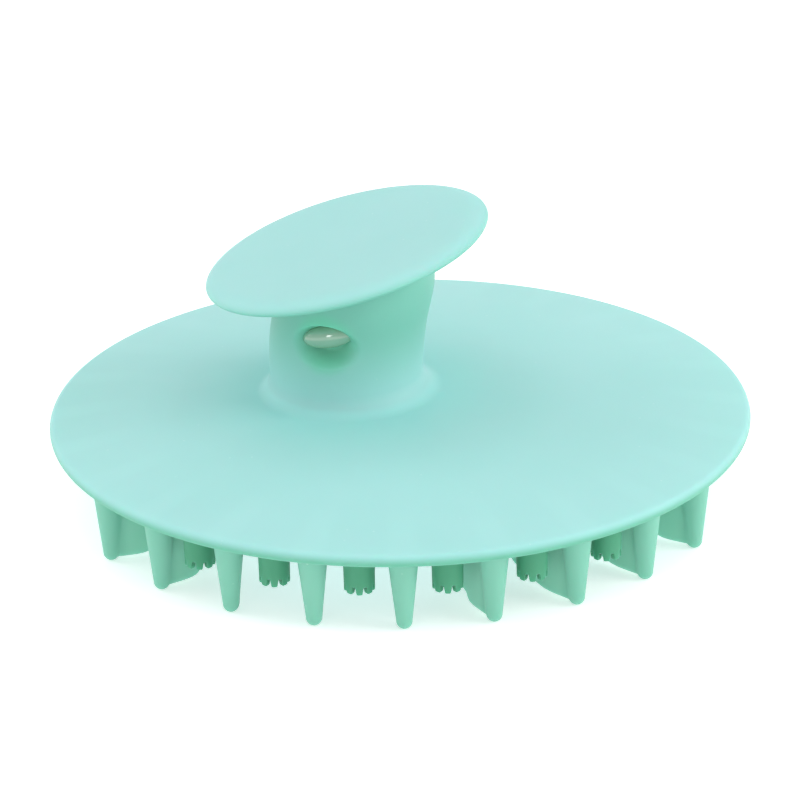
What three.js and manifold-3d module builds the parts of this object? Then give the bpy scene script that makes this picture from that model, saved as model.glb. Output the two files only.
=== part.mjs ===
// Hand-held scalp massager brush: a domed silicone pad with a mushroom knob on an off-centre neck,
// a row of long flexing teeth and short crown stubs under its front and rear, and a rigid core inside.
// Millimetres, +Z up. The origin is on the surface the teeth stand on, under the centre of the pad.

import * as THREE from 'three';
import { mergeVertices } from 'three/addons/utils/BufferGeometryUtils.js';
import Module from 'manifold-3d';

const wasm = await Module();
wasm.setup();

// ---- driving dimensions ----

const PAD_RADIUS = 43;
const TOOTH_REACH = 9.6;              // from the widest line of the pad down to the tooth tips
const PAD_RIM_Z = TOOTH_REACH;        // height of the widest line of the pad
const PAD_RIM_HALF = 0.8;             // half the thickness of the rounded pad edge
const PAD_CROWN = 3.2;                // rise of the domed top from the edge to the middle
const UNDERSIDE_DISH = 1.0;           // rise of the hollow in the middle of the underside
const UNDERSIDE_DISH_RADIUS = 25;
const UNDERSIDE_FLAT_RADIUS = 9;      // the flat spot in the middle of the dish
const UNDERSIDE_Z = PAD_RIM_Z - PAD_RIM_HALF;

const TOUCH_GAP = 0.3;                // clearance between pieces that touch
const PAD_SEGMENTS = 48;
const CORE_SEGMENTS = 20;
const TOOTH_SEGMENTS = 12;

const NECK_X = -6.05;                 // the knob and neck stand to the left of the pad's centre
const NECK_RADIUS = 9.5;
const NECK_TOP_RADIUS = 10;           // the neck widens a little towards the knob
const NECK_HEAD_SINK = 1.0;           // how far the head of the neck reaches up into the knob
const NECK_FOOT_FILLET = 2.4;
const NECK_FOOT_DEPTH = 0.7;          // how far the fillet's foot sinks below the crown of the pad
const NECK_SEGMENTS = 32;

const KNOB_RADIUS = 17.7;
const KNOB_CENTRE_Z = PAD_RIM_Z + 21.65;
const KNOB_TILT = THREE.MathUtils.degToRad(14);   // the +X side of the knob is the high one
const KNOB_EDGE_HALF = 0.6;           // half the thickness of the thin knob edge
const KNOB_DISH = 0.5;                // depth of the thumb dish in the knob's top
const KNOB_UNDERSIDE_DROP = 3.6;      // from the knob's middle plane down to its boss on the neck

const FLARE_BEND = 1.25;              // 1 is a straight cone under the knob; more hollows it out
const FLARE_STEPS = 5;

const TOOTH_PITCH = THREE.MathUtils.degToRad(15);
const TEETH_PER_SIDE = 9;             // at the front, and again at the rear; the flanks are bare
const STUBS_PER_SIDE = 6;             // between the middle seven teeth of each side
const TOOTH_RING_RADIUS = 40.2;
const TOOTH_ROOT_RADIUS = 1.9;
const TOOTH_TIP_RADIUS = 0.95;
const FIN_THICKNESS = 1.5;
// The fins of the nine teeth in a row, from its left-hand end: the turn from straight inwards in degrees, and
// whether the lower edge steps or slopes up to the pad. The third, fourth and fifth teeth are plain cones.
const FINS = [
  { turn: -18, edge: 'stepped' },
  { turn: -12, edge: 'stepped' },
  null,
  null,
  null,
  { turn: 16, edge: 'stepped' },
  { turn: 16, edge: 'sloped' },
  { turn: 3, edge: 'sloped' },
  { turn: 1, edge: 'stepped' },
];
const FIN_LENGTH = 11.6;              // how far a fin runs in under the pad, from the cone's axis
const FIN_LOW_Z = 0.35;               // lower edge of the deep part, just above the tooth's tip
const FIN_DEEP_LENGTH = 5.0;          // the deep part of a stepped fin, beside the cone
const FIN_RISE = 0.15;                // rise of its lower edge along the deep part
const FIN_CORNER = 1.2;               // rounding of the deep part's inner corner
const FIN_STEP_SLOPE = 0.5;           // lean of the step up from the deep part to the shallow rib
const FIN_RIB_Z = 2.15;               // lower edge of the rib
const FIN_RIB_LEVEL_LENGTH = 8.6;     // how far in it stays level
const FIN_SLOPE_START = 3.8;          // where a sloped fin's lower edge begins to rise
const FIN_SLOPE_END = 9.4;            // and where it has risen
const FIN_SLOPE_END_Z = 2.5;          // to this height
const FIN_END_LENGTH = 10.5;          // the slanted inner end starts here
const FIN_END_Z = 3.6;                // at this height
const FIN_BEVEL = 0.35;
const TOOTH_GAP = 0.36;               // the leaning root needs a little more room than TOUCH_GAP
const ROOT_CHAMFER = 0.6;

const STUB_RING_RADIUS = 38.9;
const STUB_RADIUS = 1.8;
const STUB_BORE_RADIUS = 0.95;
const STUB_END_Z = PAD_RIM_Z - 5.35;
const STUB_SLOT_DEPTH = 0.9;
const STUB_SLOT_WIDTH = 0.6;
const STUB_SLOT_START = -1;           // the slot tool starts below the stub's end
const STUB_SLOTS_ACROSS = 4;          // each cut runs right across, so it leaves eight crown points
const STUB_BORE_DEPTH = 1.6;
const STUB_SEGMENTS = 16;
const STUB_END_BEVEL = 0.25;

const BASE_PLATE_RADIUS = 27;
const BASE_PLATE_THICKNESS = 1.2;
const BASE_PLATE_EDGE_Z = 9.9;        // underside of the plate at its edge
const BASE_PLATE_CROWN = 0.9;
const POST_RADIUS = 5.2;
const POST_TOP_Z = 25.0;
const SPIGOT_RADIUS = 3.0;
const SPIGOT_LENGTH = 5.0;
const SPIGOT_ROOT_DEPTH = 1.5;        // how far the spigot starts inside the post

const KNOB_PLATE_RADIUS = 8.6;
const KNOB_PLATE_THICKNESS = 1.3;
const KNOB_PLATE_DROP = 2.4;          // from the knob's middle plane down to the plate's underside
const COLLAR_RADIUS = 5.2;
const COLLAR_LENGTH = 3.2;

const RECESS_ANGLE = THREE.MathUtils.degToRad(-17);  // round the neck from the front, to the left
const RECESS_Z = PAD_RIM_Z + 13.0;
const RECESS_HALF_WIDTH = 4.1;
const RECESS_HALF_HEIGHT = 2.7;
const RECESS_DEPTH = 2.3;
const PLUG_HALF_WIDTH = 3.4;
const PLUG_HALF_HEIGHT = 1.6;
const PLUG_RISE = 0.5;                // the plug sits above the middle of the recess
const PLUG_SUNK = 1.6;                // from the neck's surface in to the middle of the plug's head
const PLUG_SLANT = THREE.MathUtils.degToRad(13);  // its right-hand end is the higher one
const PLUG_HEAD_DEPTH = 1.4;
const PLUG_SHANK_RADIUS = 1.2;
const PLUG_SEGMENTS = 16;
const PLUG_RINGS = 10;

// ---- materials ----

function silicone(name, color) {
  return new THREE.MeshStandardMaterial({ name, color, roughness: 0.55, metalness: 0 });
}

function rigidPlastic(name, color) {
  return new THREE.MeshStandardMaterial({ name, color, roughness: 0.2, metalness: 0 });
}

// ---- shape helpers ----

// A closed three.js geometry as a solid that can be joined and cut.
function solidFrom(geometry) {
  const bare = new THREE.BufferGeometry();
  bare.setAttribute('position', geometry.getAttribute('position').clone());
  bare.setIndex(geometry.index ? geometry.index.clone() : null);
  const merged = mergeVertices(bare, 1e-4);
  const corners = merged.index.array;
  const kept = [];
  for (let i = 0; i < corners.length; i += 3) {
    const [a, b, c] = [corners[i], corners[i + 1], corners[i + 2]];
    if (a !== b && b !== c && c !== a) kept.push(a, b, c);
  }
  return new wasm.Manifold(new wasm.Mesh({
    numProp: 3,
    vertProperties: new Float32Array(merged.getAttribute('position').array),
    triVerts: new Uint32Array(kept),
  }));
}

function geometryFrom(solid) {
  const mesh = solid.getMesh();
  const geometry = new THREE.BufferGeometry();
  geometry.setAttribute('position', new THREE.BufferAttribute(mesh.vertProperties, 3));
  geometry.setIndex(new THREE.BufferAttribute(mesh.triVerts, 1));
  geometry.computeVertexNormals();
  return geometry;
}

// A profile of [radius, height] pairs turned about the Z axis.
function turned(profile, segments) {
  const points = profile.map(([radius, height]) => new THREE.Vector2(radius, height));
  return new THREE.LatheGeometry(points, segments).rotateX(Math.PI / 2);
}

// Profile points on a quarter or half ellipse, from one angle to another.
function arc(centreRadius, centreHeight, radiusX, radiusZ, fromDegrees, toDegrees, steps) {
  const points = [];
  for (let i = 0; i <= steps; i += 1) {
    const angle = THREE.MathUtils.degToRad(fromDegrees + (toDegrees - fromDegrees) * i / steps);
    points.push([centreRadius + radiusX * Math.cos(angle), centreHeight + radiusZ * Math.sin(angle)]);
  }
  return points;
}

// Profile points on a shallow dome or dish whose height changes with the square of the radius.
function bowl(innerRadius, outerRadius, middleHeight, edgeHeight, steps) {
  const points = [];
  for (let i = 0; i <= steps; i += 1) {
    const radius = innerRadius + (outerRadius - innerRadius) * i / steps;
    const share = (radius / Math.max(innerRadius, outerRadius)) ** 2;
    points.push([radius, middleHeight + (edgeHeight - middleHeight) * share]);
  }
  return points;
}

function place(solid, matrix) {
  return solid.transform(matrix.elements);
}

// The knob's own frame: its middle plane is tilted, and its axis leans to the left.
const knobFrame = new THREE.Matrix4().makeRotationY(-KNOB_TILT)
  .setPosition(NECK_X, 0, KNOB_CENTRE_Z);

// The recess's frame: +X looks out of the neck, +Y runs round it and +Z is up.
const recessHeading = RECESS_ANGLE - Math.PI / 2;
const recessFrame = new THREE.Matrix4().makeRotationZ(recessHeading).setPosition(
  NECK_X + NECK_RADIUS * Math.cos(recessHeading),
  NECK_RADIUS * Math.sin(recessHeading),
  RECESS_Z,
);

// ---- silicone body: pad, neck and knob in one skin ----

function padSolid() {
  const flatTo = PAD_RADIUS - PAD_RIM_HALF;
  const topEdge = PAD_RIM_Z + PAD_RIM_HALF;
  const dish = bowl(UNDERSIDE_FLAT_RADIUS, UNDERSIDE_DISH_RADIUS, UNDERSIDE_Z + UNDERSIDE_DISH, UNDERSIDE_Z, 4);
  const flatSpotZ = dish[0][1];
  const profile = [
    [0, flatSpotZ],
    ...dish,
    ...arc(flatTo, PAD_RIM_Z, PAD_RIM_HALF, PAD_RIM_HALF, -90, 72, 6),
    ...bowl(flatTo, 0, topEdge + PAD_CROWN, topEdge, 9).slice(1),
  ];
  return solidFrom(turned(profile, PAD_SEGMENTS));
}

function neckSolid() {
  const footZ = PAD_RIM_Z + PAD_RIM_HALF + PAD_CROWN - NECK_FOOT_DEPTH;
  const fillet = arc(NECK_RADIUS + NECK_FOOT_FILLET, footZ + NECK_FOOT_FILLET,
    NECK_FOOT_FILLET, NECK_FOOT_FILLET, 270, 180, 5);
  const profile = [
    [0, footZ - NECK_FOOT_DEPTH],
    [NECK_RADIUS + NECK_FOOT_FILLET, footZ - NECK_FOOT_DEPTH],
    ...fillet,
    [(NECK_RADIUS + NECK_TOP_RADIUS) / 2, RECESS_Z],
    [NECK_TOP_RADIUS, KNOB_CENTRE_Z + NECK_TOP_RADIUS],
    [0, KNOB_CENTRE_Z + NECK_TOP_RADIUS],
  ];
  const column = place(solidFrom(turned(profile, NECK_SEGMENTS)),
    new THREE.Matrix4().makeTranslation(NECK_X, 0, 0));
  const above = new THREE.Vector3(0, 0, 1).applyMatrix4(new THREE.Matrix4().extractRotation(knobFrame));
  const headPoint = new THREE.Vector3(0, 0, -KNOB_UNDERSIDE_DROP + NECK_HEAD_SINK).applyMatrix4(knobFrame);
  return column.trimByPlane([-above.x, -above.y, -above.z], -above.dot(headPoint));
}

function knobSolid() {
  const edgeCentre = KNOB_RADIUS - KNOB_EDGE_HALF;
  const flare = [];
  for (let i = 0; i < FLARE_STEPS; i += 1) {
    const share = i / FLARE_STEPS;
    flare.push([
      NECK_TOP_RADIUS + (edgeCentre - NECK_TOP_RADIUS) * share ** FLARE_BEND,
      -KNOB_UNDERSIDE_DROP + (KNOB_UNDERSIDE_DROP - KNOB_EDGE_HALF) * share ** (1 / FLARE_BEND),
    ]);
  }
  const profile = [
    [0, -KNOB_UNDERSIDE_DROP],
    ...flare,
    ...arc(edgeCentre, 0, KNOB_EDGE_HALF, KNOB_EDGE_HALF, -90, 90, 6),
    ...bowl(edgeCentre, 0, KNOB_EDGE_HALF - KNOB_DISH, KNOB_EDGE_HALF, 5).slice(1),
  ];
  return place(solidFrom(turned(profile, NECK_SEGMENTS)), knobFrame);
}

// The flared oval mouth in the front of the neck.
function recessCut() {
  const scoop = new THREE.SphereGeometry(1, 20, 12);
  scoop.scale(RECESS_DEPTH, RECESS_HALF_WIDTH, RECESS_HALF_HEIGHT);
  return place(solidFrom(scoop), recessFrame);
}

// ---- rigid core: base plate and post, grown by a clearance for the pocket that holds it ----

function baseAndPost(grow) {
  const radius = BASE_PLATE_RADIUS + grow;
  const under = bowl(0, radius, BASE_PLATE_EDGE_Z + BASE_PLATE_CROWN - grow, BASE_PLATE_EDGE_Z - grow, 4);
  const over = bowl(radius, 0, BASE_PLATE_EDGE_Z + BASE_PLATE_THICKNESS + BASE_PLATE_CROWN + grow,
    BASE_PLATE_EDGE_Z + BASE_PLATE_THICKNESS + grow, 4);
  const plate = solidFrom(turned([...under, ...over], NECK_SEGMENTS));
  const post = place(
    solidFrom(turned([
      [0, BASE_PLATE_EDGE_Z + BASE_PLATE_CROWN],
      [POST_RADIUS + grow, BASE_PLATE_EDGE_Z + BASE_PLATE_CROWN],
      [POST_RADIUS + grow, POST_TOP_Z + grow],
      [0, POST_TOP_Z + grow],
    ], CORE_SEGMENTS)),
    new THREE.Matrix4().makeTranslation(NECK_X, 0, 0),
  );
  return plate.add(post);
}

// The slanted spigot at the head of the post, along the knob's axis.
function spigot(grow) {
  const foot = new THREE.Vector3(NECK_X, 0, POST_TOP_Z - SPIGOT_ROOT_DEPTH);
  const frame = new THREE.Matrix4().makeRotationY(-KNOB_TILT).setPosition(foot);
  return place(solidFrom(turned([
    [0, 0],
    [SPIGOT_RADIUS + grow, 0],
    [SPIGOT_RADIUS + grow, SPIGOT_LENGTH + grow],
    [0, SPIGOT_LENGTH + grow],
  ], CORE_SEGMENTS)), frame);
}

function knobPlateSolid(grow) {
  const bottom = -KNOB_PLATE_DROP;
  return place(solidFrom(turned([
    [0, bottom - COLLAR_LENGTH - grow],
    [COLLAR_RADIUS + grow, bottom - COLLAR_LENGTH - grow],
    [COLLAR_RADIUS + grow, bottom - grow],
    [KNOB_PLATE_RADIUS + grow, bottom - grow],
    [KNOB_PLATE_RADIUS + grow, bottom + KNOB_PLATE_THICKNESS + grow],
    [0, bottom + KNOB_PLATE_THICKNESS + grow],
  ], NECK_SEGMENTS)), knobFrame);
}

// The rounded end of the locating plug, with a shank that runs into the post.
function plugSolid(grow) {
  const head = new THREE.SphereGeometry(1, PLUG_SEGMENTS, PLUG_RINGS);
  head.scale(PLUG_HEAD_DEPTH + grow, PLUG_HALF_WIDTH + grow, PLUG_HALF_HEIGHT + grow);
  head.rotateX(PLUG_SLANT).translate(-PLUG_SUNK, 0, PLUG_RISE);
  const shankLength = NECK_RADIUS - POST_RADIUS + grow;
  const shankRadius = PLUG_SHANK_RADIUS + grow;
  const shank = new THREE.CylinderGeometry(shankRadius, shankRadius, shankLength, PLUG_SEGMENTS);
  shank.rotateZ(Math.PI / 2).translate(-PLUG_SUNK - shankLength / 2, 0, PLUG_RISE);
  return place(solidFrom(head).add(solidFrom(shank)), recessFrame);
}

// ---- teeth ----

// One cone, standing at the front of the pad. Its fin, where it has one, runs towards +Y.
function toothSolid(fin) {
  const topZ = UNDERSIDE_Z - TOOTH_GAP;
  const cone = solidFrom(turned([
    ...arc(0, TOOTH_TIP_RADIUS, TOOTH_TIP_RADIUS, TOOTH_TIP_RADIUS, -90, 0, 3),
    [TOOTH_ROOT_RADIUS, topZ - ROOT_CHAMFER],
    [TOOTH_ROOT_RADIUS - ROOT_CHAMFER, topZ],
    [0, topZ],
  ], TOOTH_SEGMENTS));
  if (!fin) return cone;
  const web = new THREE.ExtrudeGeometry(finOutline(fin.edge, topZ), {
    depth: FIN_THICKNESS - 2 * FIN_BEVEL,
    bevelEnabled: true,
    bevelThickness: FIN_BEVEL,
    bevelSize: FIN_BEVEL,
    bevelOffset: -FIN_BEVEL,
    bevelSegments: 1,
    curveSegments: 2,
  });
  web.translate(0, 0, -(FIN_THICKNESS - 2 * FIN_BEVEL) / 2);
  web.applyMatrix4(new THREE.Matrix4().makeBasis(
    new THREE.Vector3(0, 1, 0), new THREE.Vector3(0, 0, 1), new THREE.Vector3(1, 0, 0)));
  return cone.add(solidFrom(web));
}

// The fin's side view: x runs inwards from the cone's axis and y is up. A stepped fin has a deep part with a
// rounded corner beside the cone, and a shallow rib beyond it. A sloped fin rises all the way.
function finOutline(edge, topZ) {
  const outline = new THREE.Shape();
  outline.moveTo(0, topZ);
  outline.lineTo(0, FIN_LOW_Z);
  if (edge === 'stepped') {
    const cornerZ = FIN_LOW_Z + FIN_RISE;
    outline.lineTo(FIN_DEEP_LENGTH - FIN_CORNER, cornerZ);
    outline.quadraticCurveTo(FIN_DEEP_LENGTH, cornerZ, FIN_DEEP_LENGTH + FIN_STEP_SLOPE, FIN_RIB_Z);
    outline.lineTo(FIN_RIB_LEVEL_LENGTH, FIN_RIB_Z);
  } else {
    outline.lineTo(FIN_SLOPE_START, FIN_LOW_Z);
    outline.lineTo(FIN_SLOPE_END, FIN_SLOPE_END_Z);
  }
  outline.lineTo(FIN_END_LENGTH, FIN_END_Z);
  outline.lineTo(FIN_LENGTH, topZ);
  outline.closePath();
  return outline;
}

// One short straight stub with a crown of small square points round its bored end.
function stubSolid() {
  const topZ = UNDERSIDE_Z - TOUCH_GAP;
  let stub = solidFrom(turned([
    [0, STUB_END_Z + STUB_BORE_DEPTH],
    [STUB_BORE_RADIUS, STUB_END_Z + STUB_BORE_DEPTH],
    [STUB_BORE_RADIUS, STUB_END_Z],
    [STUB_RADIUS - STUB_END_BEVEL, STUB_END_Z],
    [STUB_RADIUS, STUB_END_Z + STUB_END_BEVEL],
    [STUB_RADIUS, topZ],
    [0, topZ],
  ], STUB_SEGMENTS));
  const slot = new THREE.Shape();
  slot.moveTo(-STUB_SLOT_WIDTH / 2, STUB_SLOT_START);
  slot.lineTo(STUB_SLOT_WIDTH / 2, STUB_SLOT_START);
  slot.lineTo(STUB_SLOT_WIDTH / 2, STUB_SLOT_DEPTH - STUB_SLOT_WIDTH / 2);
  slot.lineTo(0, STUB_SLOT_DEPTH);
  slot.lineTo(-STUB_SLOT_WIDTH / 2, STUB_SLOT_DEPTH - STUB_SLOT_WIDTH / 2);
  slot.closePath();
  for (let i = 0; i < STUB_SLOTS_ACROSS; i += 1) {
    const cut = new THREE.ExtrudeGeometry(slot, { depth: 4 * STUB_RADIUS, bevelEnabled: false });
    cut.translate(0, 0, -2 * STUB_RADIUS).rotateX(Math.PI / 2);
    cut.rotateZ(Math.PI * (i + 0.5) / STUB_SLOTS_ACROSS);
    cut.translate(0, 0, STUB_END_Z);
    stub = stub.subtract(solidFrom(cut));
  }
  return stub;
}

// ---- assembly ----

const brush = new THREE.Group();

function addPiece(name, geometry, material) {
  const mesh = new THREE.Mesh(geometry, material);
  mesh.name = name;
  brush.add(mesh);
  return mesh;
}

const padBlank = padSolid().add(neckSolid()).add(knobSolid()).subtract(recessCut());
const corePocket = baseAndPost(TOUCH_GAP).add(spigot(TOUCH_GAP)).add(knobPlateSolid(TOUCH_GAP))
  .add(plugSolid(TOUCH_GAP));
addPiece('silicone_body', geometryFrom(padBlank.subtract(corePocket)), silicone('mint silicone', 0xa4dfd6));

const shankHole = plugSolid(TOUCH_GAP);
const coreFrame = baseAndPost(0).add(spigot(0)).subtract(shankHole);
addPiece('core_frame', geometryFrom(coreFrame), rigidPlastic('white core', 0xe6ece6));

const knobPlate = knobPlateSolid(0).subtract(spigot(TOUCH_GAP)).subtract(baseAndPost(TOUCH_GAP));
addPiece('knob_plate', geometryFrom(knobPlate), rigidPlastic('white core', 0xe6ece6));

addPiece('locating_plug', geometryFrom(plugSolid(0)), rigidPlastic('glossy plug', 0xdfeee2));

function twoDigits(number) {
  return String(number).padStart(2, '0');
}

// Headings of a row centred on the front of the pad, then of the same row turned half way round.
function rowHeadings(countPerSide) {
  const headings = [];
  for (const side of [0, Math.PI]) {
    for (let i = 0; i < countPerSide; i += 1) {
      headings.push(side + (i - (countPerSide - 1) / 2) * TOOTH_PITCH);
    }
  }
  return headings;
}

function standAt(mesh, ringRadius, heading) {
  mesh.position.set(ringRadius * Math.sin(heading), -ringRadius * Math.cos(heading), 0);
}

rowHeadings(TEETH_PER_SIDE).forEach((heading, i) => {
  const fin = FINS[i % TEETH_PER_SIDE];
  const solid = toothSolid(fin);
  const tooth = addPiece(`tooth_${twoDigits(i + 1)}`, geometryFrom(solid), silicone('tooth silicone', 0x86ccb4));
  standAt(tooth, TOOTH_RING_RADIUS, heading);
  tooth.rotation.z = heading + THREE.MathUtils.degToRad(fin ? fin.turn : 0);
});

rowHeadings(STUBS_PER_SIDE).forEach((heading, i) => {
  const stub = addPiece(`crown_stub_${twoDigits(i + 1)}`, geometryFrom(stubSolid()), silicone('tooth silicone', 0x86ccb4));
  standAt(stub, STUB_RING_RADIUS, heading);
});

export default brush;
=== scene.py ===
"""Looks of the scalp massager brush: one soft silicone skin, its teeth and stubs, and the plug in the neck.

Lengths are in metres. The brush stands on its tooth tips on the floor, with the pad's centre over the origin.
"""

import math

import bpy
import numpy as np
from mathutils import Matrix, Vector


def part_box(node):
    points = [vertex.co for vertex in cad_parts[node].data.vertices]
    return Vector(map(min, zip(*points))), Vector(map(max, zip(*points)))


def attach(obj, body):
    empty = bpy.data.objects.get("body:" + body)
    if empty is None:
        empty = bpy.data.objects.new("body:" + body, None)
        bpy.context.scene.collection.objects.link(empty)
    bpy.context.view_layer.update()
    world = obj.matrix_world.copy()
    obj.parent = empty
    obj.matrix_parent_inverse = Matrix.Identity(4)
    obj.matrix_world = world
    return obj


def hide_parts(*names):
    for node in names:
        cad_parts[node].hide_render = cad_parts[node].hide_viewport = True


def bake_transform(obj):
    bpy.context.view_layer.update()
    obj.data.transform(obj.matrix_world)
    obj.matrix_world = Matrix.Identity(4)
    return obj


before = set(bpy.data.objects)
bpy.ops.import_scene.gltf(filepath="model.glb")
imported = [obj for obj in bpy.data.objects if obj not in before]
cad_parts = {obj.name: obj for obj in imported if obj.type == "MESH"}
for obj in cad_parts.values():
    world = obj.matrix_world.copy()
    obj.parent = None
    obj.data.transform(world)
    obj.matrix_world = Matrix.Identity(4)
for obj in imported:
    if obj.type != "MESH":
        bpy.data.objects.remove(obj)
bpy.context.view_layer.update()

MM = 0.001

# ---- sizes, read from the frame where the frame has them ----

body_low, body_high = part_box("silicone_body")
PAD_RADIUS = (body_high.x - body_low.x) / 2
RIM_HALF = 0.8 * MM                   # half the thickness of the pad's rounded edge
UNDERSIDE_Z = body_low.z
RIM_Z = UNDERSIDE_Z + RIM_HALF        # height of the pad's widest line
PAD_CROWN = 3.2 * MM
UNDERSIDE_DISH = 0.95 * MM
UNDERSIDE_DISH_RADIUS = 26 * MM

NECK_X = -6.05 * MM
NECK_LEAN = 0.4 * MM                  # how far to the left the neck starts, above its fillet
NECK_WAIST = 9.4 * MM
NECK_FLARE = 0.6 * MM                 # how much wider the neck is at the knob
NECK_HIGH_SIDE_FLARE = 0.35 * MM
NECK_FOOT_REACH = 2.1 * MM            # how far the fillet runs out over the pad
NECK_FOOT_RISE = 2.3 * MM

KNOB_RADIUS = 17.7 * MM
KNOB_CENTRE = np.array([NECK_X, 0.0, RIM_Z + 21.65 * MM])
KNOB_TILT = math.radians(14)
KNOB_EDGE_HALF = 0.6 * MM
KNOB_EDGE_TOP = 1.5 * KNOB_EDGE_HALF  # from the knob's middle plane up to the top of its rolled edge
KNOB_TOP_ROLL = 2.6 * MM
KNOB_UNDER_ROLL = 1.0 * MM
KNOB_DISH = 0.35 * MM
KNOB_DROP = 3.5 * MM                  # from the knob's middle plane down to the top of the neck
KNOB_FLARE_BEND = 1.25                # 1 is a straight flare; more hollows it out
KNOB_FLARE_LIFT = 0.8

TOOTH_PITCH = math.radians(15)
TEETH_PER_SIDE = 9
TOOTH_RING_RADIUS = 40.2 * MM
TOOTH_TIP_RADIUS = 0.95 * MM
TOOTH_ROOT_RADIUS = 1.9 * MM
FIN_HALF = 0.75 * MM
FIN_LOW_Z = 0.35 * MM
FIN_CORNER_POWER = 8                  # a higher power makes the fin's section a sharper rectangle
FIN_JOIN_POWER = 9                    # and makes the join of fin and cone tighter
# The corners of a fin's lower and inner edge, in millimetres: height, and length in from the cone's axis. A
# stepped fin has a deep part with a rounded corner beside the cone, a step up and a level rib. A sloped fin's
# lower edge rises all the way. Both end in a slant up to the pad.
STEPPED_FIN = ((0.35, 0.3), (0.42, 2.0), (0.5, 3.3), (0.65, 4.1), (0.9, 4.6), (1.3, 5.0), (1.8, 5.25),
               (2.1, 5.9), (2.3, 8.6), (3.0, 9.7), (3.7, 10.5), (4.6, 10.7), (8.4, 11.6))
SLOPED_FIN = ((0.35, 0.3), (0.42, 2.2), (0.52, 3.8), (0.8, 4.9), (1.3, 6.2), (2.0, 7.9), (2.6, 9.4),
              (3.7, 10.5), (4.6, 10.7), (8.4, 11.6))
# The nine teeth of a row, from its left-hand end: the fin's turn from straight inwards in degrees, and the
# fin's edge. The third, fourth and fifth are plain cones.
FINS = ((-18, STEPPED_FIN), (-12, STEPPED_FIN), None, None, None,
        (16, STEPPED_FIN), (16, SLOPED_FIN), (3, SLOPED_FIN), (1, STEPPED_FIN))

STUBS_PER_SIDE = 6
STUB_RING_RADIUS = 38.9 * MM
STUB_RADIUS = 1.8 * MM
STUB_END_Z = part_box("crown_stub_01")[0].z
STUB_BORE_DEPTH = 1.6 * MM
STUB_SLOT_COUNT = 8
STUB_SLOT_DEPTH = 1.0 * MM
STUB_SLOT_HALF = 0.31 * MM
# A stub's section in millimetres, radius and height: the roof and wall of its bore, the crown's end, then the
# outer wall up to a root that widens into the pad.
STUB_SECTION = ((0.4, 1.6), (0.8, 1.55), (0.93, 1.4), (0.95, 1.1), (0.95, 0.7), (0.95, 0.3), (0.98, 0.1),
                (1.06, 0.0), (1.3, 0.0), (1.56, 0.0), (1.7, 0.05), (1.78, 0.15), (1.8, 0.35), (1.8, 0.6),
                (1.8, 0.9), (1.81, 1.2), (1.82, 2.2), (1.84, 3.2), (1.9, 4.0), (2.0, 4.4), (2.1, 4.7))

RECESS_HEADING = math.radians(-17 - 90)
RECESS_Z = RIM_Z + 13.0 * MM
RECESS_HALF_WIDTH = 4.1 * MM
RECESS_HALF_HEIGHT = 2.75 * MM
RECESS_DEPTH = 2.3 * MM
RECESS_FLOOR = 0.5                    # share of the oval that lies at full depth
RECESS_LIP = 1.08                     # where the lip ends, as a share of the oval
RECESS_LIP_LEAN = 0.14                # how much nearer the upper lip ends, and further the lower one
PLUG_Z = RIM_Z + 13.5 * MM
PLUG_HALF_WIDTH = 3.3 * MM
PLUG_HALF_HEIGHT = 1.5 * MM
PLUG_BULGE = 1.4 * MM
PLUG_SUNK = 1.5 * MM
PLUG_SLANT = math.radians(12)

# ---- how finely the surfaces are divided ----

SKIN_AROUND = 400
UNDERSIDE_RINGS = 40
RIM_RINGS = 18
PAD_TOP_RINGS = 70
PAD_TOP_CROWDING = 0.9                # below 1 the rings stand closer together near the neck
FOOT_RINGS = 26
NECK_RINGS = 110
KNOB_FLARE_RINGS = 40
KNOB_UNDER_RINGS = 12
KNOB_OVER_RINGS = 22
KNOB_TOP_RINGS = 40
POLE_RADIUS = 0.4 * MM                # the smallest ring round the middle of a disc
PLUG_AROUND = 72
PLUG_RINGS = 44
# Heights of a tooth's rings, closer together where its tip is round and where its fin steps.
TOOTH_LEVELS = np.concatenate([
    np.linspace(0.02, 0.3, 6), np.linspace(0.36, 1.4, 24), np.linspace(1.5, 4.4, 40),
    np.linspace(4.6, 8.6, 16), [8.9, 9.3]]) * MM
TOOTH_NEAR_FIN = math.radians(40)     # the points are crowded within this turn of the fin
TOOTH_NEAR_POINTS = 44
TOOTH_FAR_POINTS = 26
TOOTH_CROWDING = 1.4
STUB_POINTS_PER_SLOT = 24
STUB_CROWDING = 1.6


# ---- grid surfaces ----

def smooth(low, high, x):
    """An S-curve from 0 at low to 1 at high: 3 t squared minus 2 t cubed."""
    t = np.clip((x - low) / (high - low), 0.0, 1.0)
    return t * t * (3 - 2 * t)


def ring_mesh(name, rings, start_pole, end_pole):
    """A closed surface from rings of points, shape (rings, points, 3), listed from the bottom up and
    anticlockwise from above. Neighbouring rings are joined by quads, and each end closes on its pole."""
    count, around, _ = rings.shape
    points = np.vstack([rings.reshape(-1, 3), [start_pole], [end_pole]])
    row, column = np.meshgrid(np.arange(count - 1), np.arange(around), indexing="ij")
    beside = (column + 1) % around
    quads = np.stack([row * around + column, row * around + beside,
                      (row + 1) * around + beside, (row + 1) * around + column], axis=-1).reshape(-1, 4)
    first = np.arange(around)
    second = (first + 1) % around
    last_row = (count - 1) * around
    bottom = np.stack([np.full(around, count * around), second, first], axis=-1)
    top = np.stack([last_row + first, last_row + second, np.full(around, count * around + 1)], axis=-1)
    mesh = bpy.data.meshes.new(name)
    mesh.from_pydata(points.tolist(), [], quads.tolist() + bottom.tolist() + top.tolist())
    mesh.polygons.foreach_set("use_smooth", np.ones(len(mesh.polygons), bool))
    mesh.validate()
    piece = bpy.data.objects.new(name, mesh)
    bpy.context.scene.collection.objects.link(piece)
    return piece


# ---- silicone skin ----

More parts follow.
